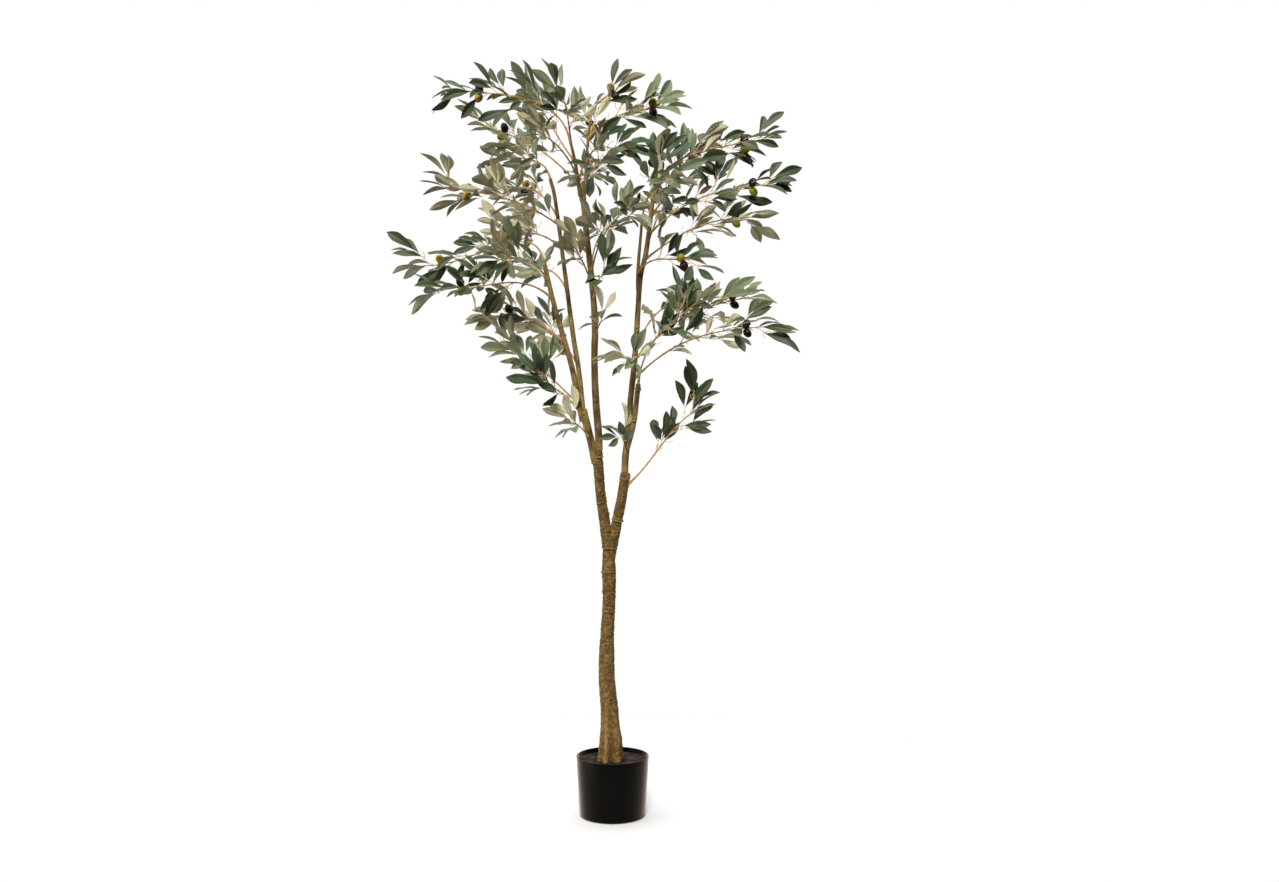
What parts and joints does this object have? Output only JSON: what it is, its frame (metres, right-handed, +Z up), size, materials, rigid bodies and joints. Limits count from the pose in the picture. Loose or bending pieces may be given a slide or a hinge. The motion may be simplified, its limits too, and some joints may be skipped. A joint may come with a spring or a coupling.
{
  "type": "artificial olive tree in a pot",
  "caption": "Tall slender artificial olive tree with forked trunk, thin upright stems, open leafy sprays and paired olives, in a round tapered plastic pot.",
  "frame": {"origin": "the middle of the pot's flat underside", "axes": "+Z up along the trunk, -Y towards the front, +X to the right seen from the front"},
  "size_m": [0.9698, 0.646, 1.7982],
  "materials": {
    "pot_plastic": "satin black moulded plastic",
    "pot_fill": "rough dark brown cast fill",
    "bark": "matte olive-brown bark with ribs and rings",
    "foliage": "matte grey-green leaves on thin tan twigs, with dark and yellow-green olives"
  },
  "bodies": {
    "root": {"pot": "pot_plastic", "pot_fill": "pot_fill", "trunk": "bark", "bough_left": "bark", "bough_right": "bark", "stem_middle": "bark", "bough_far_left": "bark", "crown_left": "bark", "crown_right": "bark", "stem_left_outer": "bark", "stem_left_inner": "bark", "stem_right": "bark", "stem_right_low": "bark", "stem_right_high": "bark", "spray_top_left_outer": "foliage", "spray_top_left_inner": "foliage", "spray_top_middle": "foliage", "spray_top_up": "foliage", "spray_top_right": "foliage", "spray_top_right_low": "foliage", "spray_top_back": "foliage", "spray_high_left_outer": "foliage", "spray_high_left_inner": "foliage", "spray_high_left_front": "foliage", "spray_high_middle_back": "foliage", "spray_high_middle_front": "foliage", "spray_left_upper_outer": "foliage", "spray_left_upper_back": "foliage", "spray_left_outer": "foliage", "spray_left_inner": "foliage", "spray_left_lower_outer": "foliage", "spray_left_front": "foliage", "spray_left_back": "foliage", "spray_left_lower": "foliage", "spray_left_low_outer": "foliage", "spray_left_low_front": "foliage", "spray_left_low_back": "foliage", "spray_left_lowest": "foliage", "spray_middle_front": "foliage", "spray_middle_left": "foliage", "spray_middle_back": "foliage", "spray_right_top_outer": "foliage", "spray_right_top_inner": "foliage", "spray_right_upper": "foliage", "spray_right_upper_outer": "foliage", "spray_right_outer": "foliage", "spray_right_upper_back": "foliage", "spray_right_upper_front": "foliage", "spray_right_front": "foliage", "spray_right_low_outer": "foliage", "spray_right_low_upper": "foliage", "spray_right_low_front": "foliage", "spray_right_low_back": "foliage", "spray_right_low_left": "foliage", "spray_fork_right": "foliage", "spray_fork_left": "foliage", "spray_middle_high": "foliage", "spray_middle_low": "foliage"}
  },
  "joints": []
}
